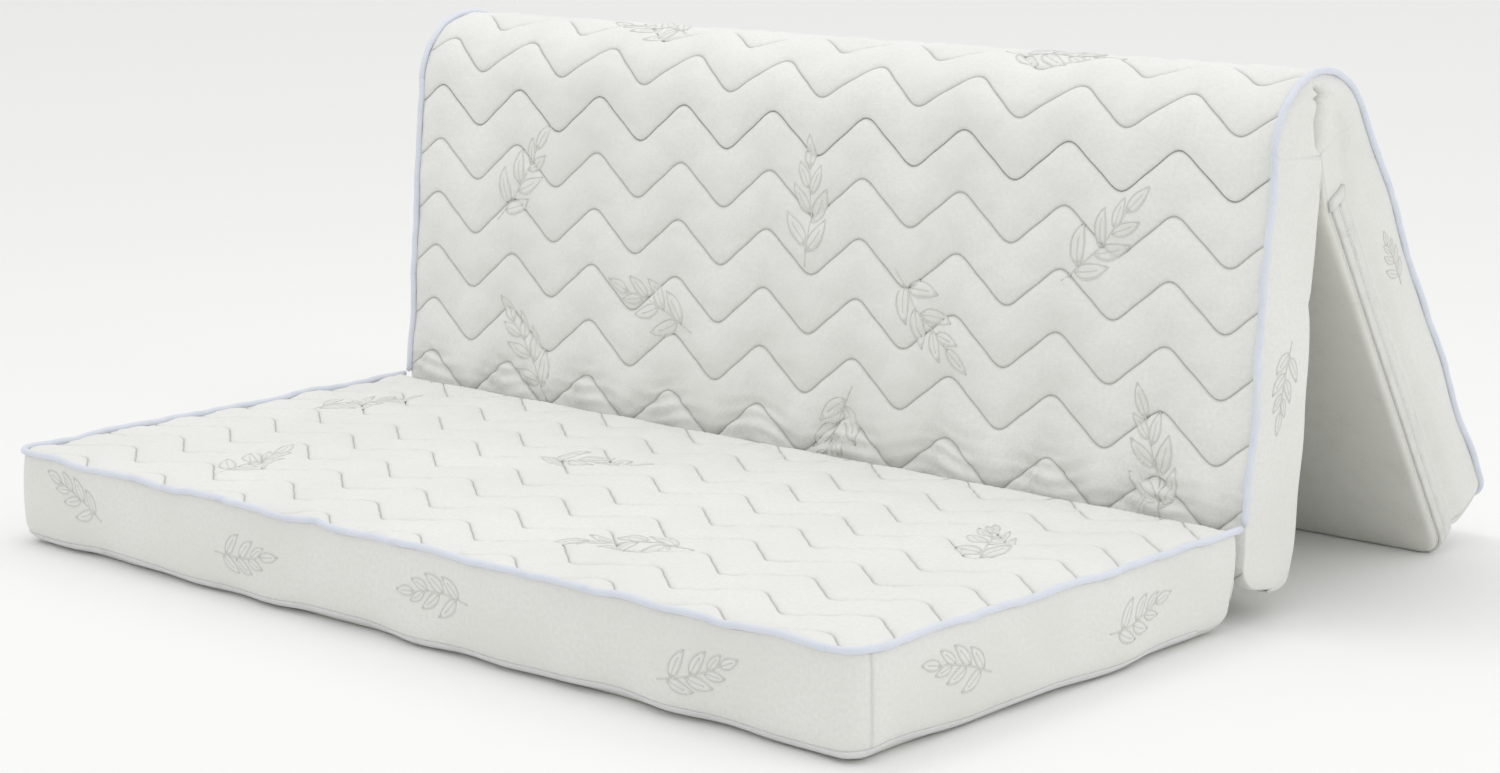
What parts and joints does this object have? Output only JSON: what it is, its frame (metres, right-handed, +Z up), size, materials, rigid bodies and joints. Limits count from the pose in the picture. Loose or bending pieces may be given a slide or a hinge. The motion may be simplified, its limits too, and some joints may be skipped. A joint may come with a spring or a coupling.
{
  "type": "futon mattress",
  "caption": "Quilted fold-out futon mattress in its sofa fold: flat seat, upright back and a rear section that leans down behind, with piped edges and a zipped cover.",
  "frame": {"origin": "on the floor under the middle of the whole mattress", "axes": "+Z up, +X along the long side towards the mattress's left as one sits on it, +Y from the seat's front towards the back and the rear section"},
  "size_m": [1.4056, 1.1832, 0.613],
  "materials": {
    "ticking": "quilted cotton and polyester knit",
    "band_cloth": "plain knitted side strip",
    "underside_cloth": "plain woven base cloth",
    "piping": "covered cord in bias tape",
    "binding": "flat woven tape",
    "foam": "open cell polyurethane foam",
    "wadding": "polyester fibre pad",
    "zip_tape": "woven polyester tape",
    "zip_coil": "moulded nylon coil",
    "zip_metal": "lacquered zinc"
  },
  "bodies": {
    "seat": {"seat_bottom_binding": "binding", "seat_foam_core": "foam", "seat_front_band": "band_cloth", "seat_left_band": "band_cloth", "seat_piping": "piping", "seat_right_band": "band_cloth", "seat_ticking": "ticking", "seat_underside": "underside_cloth", "seat_wadding": "wadding", "valley_fold_web": "ticking"},
    "back": {"back_foam_core": "foam", "back_left_band": "band_cloth", "back_left_piping": "piping", "back_right_band": "band_cloth", "back_right_piping": "piping", "back_ticking": "ticking", "back_underside": "underside_cloth", "back_wadding": "wadding", "mountain_fold_piping": "piping", "mountain_fold_ticking": "ticking", "mountain_fold_wadding": "wadding"},
    "rear": {"rear_end_band": "band_cloth", "rear_foam_core": "foam", "rear_left_band": "band_cloth", "rear_piping": "piping", "rear_right_band": "band_cloth", "rear_ticking": "ticking", "rear_underside": "underside_cloth", "rear_wadding": "wadding", "rear_zip_coil": "zip_coil", "rear_zip_stop": "zip_coil", "rear_zip_tape": "zip_tape"},
    "zip_slider": {"zip_slider": "zip_metal"},
    "zip_pull": {"zip_pull": "zip_metal"}
  },
  "joints": [
    {"name": "valley_fold", "type": "hinge", "parent": "seat", "child": "back", "pos_m": [0.0028, 0.09876, 0.08055], "axis": [1, 0, 0], "range_deg": [-84.5, 0], "deforming": ["valley_fold_web"]},
    {"name": "mountain_fold", "type": "hinge", "parent": "back", "child": "rear", "pos_m": [0.0028, 0.19937, 0.51457], "axis": [1, 0, 0], "range_deg": [0, 143.3], "deforming": ["mountain_fold_piping", "mountain_fold_ticking", "mountain_fold_wadding"]},
    {"name": "zip_slide", "type": "slide", "parent": "rear", "child": "zip_slider", "axis": [0, 0.518, -0.8554], "range_m": [-0.434, 0]},
    {"name": "zip_pull_swing", "type": "hinge", "parent": "zip_slider", "child": "zip_pull", "pos_m": [-0.7, 0.47256, 0.06542], "axis": [0, 0.8554, 0.518], "range_deg": [0, 160]}
  ]
}
